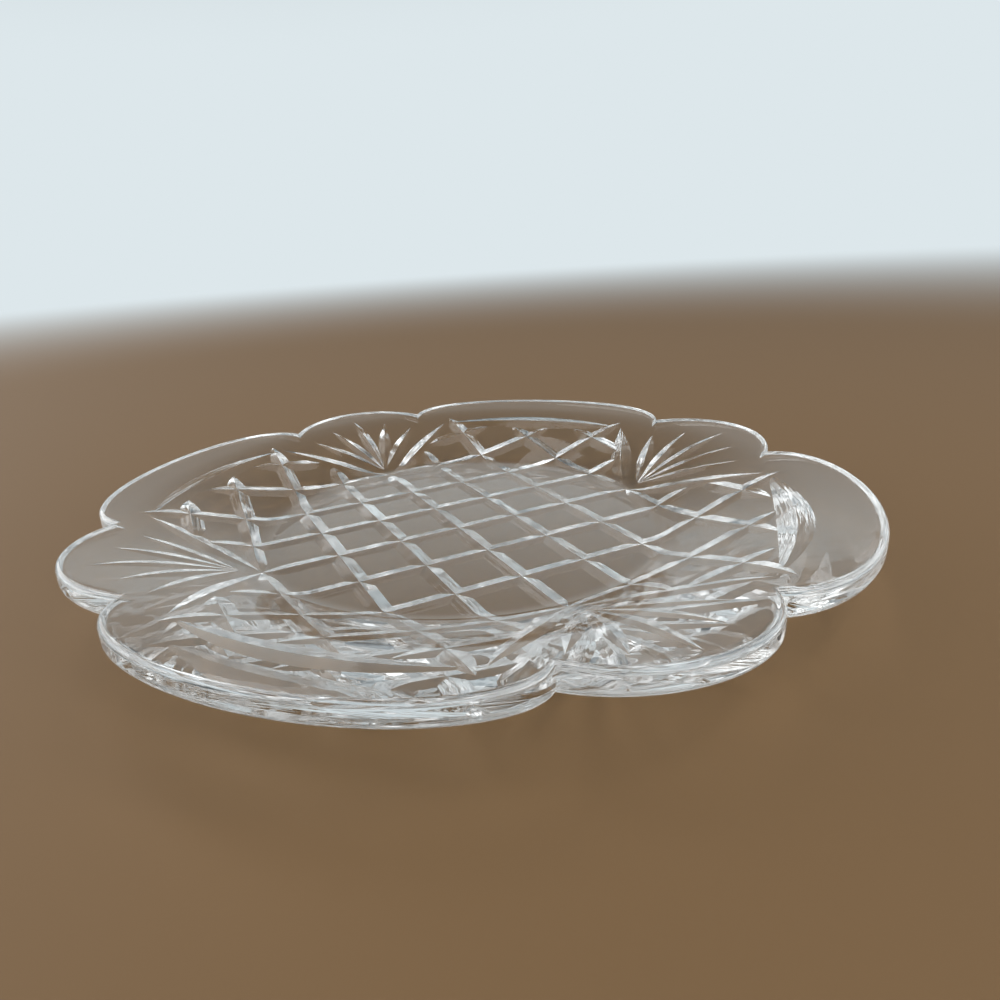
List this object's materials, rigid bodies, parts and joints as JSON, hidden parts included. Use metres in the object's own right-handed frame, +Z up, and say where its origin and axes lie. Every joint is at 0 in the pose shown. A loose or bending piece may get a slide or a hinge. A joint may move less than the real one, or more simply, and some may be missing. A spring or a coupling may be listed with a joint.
{
  "type": "crystal plate",
  "caption": "Shallow clear crystal plate with a scalloped, lobed edge, a flat well and a diamond lattice with fans cut into the underside; serves or displays food.",
  "frame": {"origin": "centre of the underside, at the level the plate rests on", "axes": "+Z up along the plate's axis; +X and +Y through the middles of two neighbouring wide lobes"},
  "size_m": [0.2058, 0.2058, 0.0206],
  "materials": {
    "crystal": "clear and colourless, fire-polished, with mitre-cut flanks on the underside"
  },
  "bodies": {
    "root": {"plate": "crystal"}
  },
  "joints": []
}
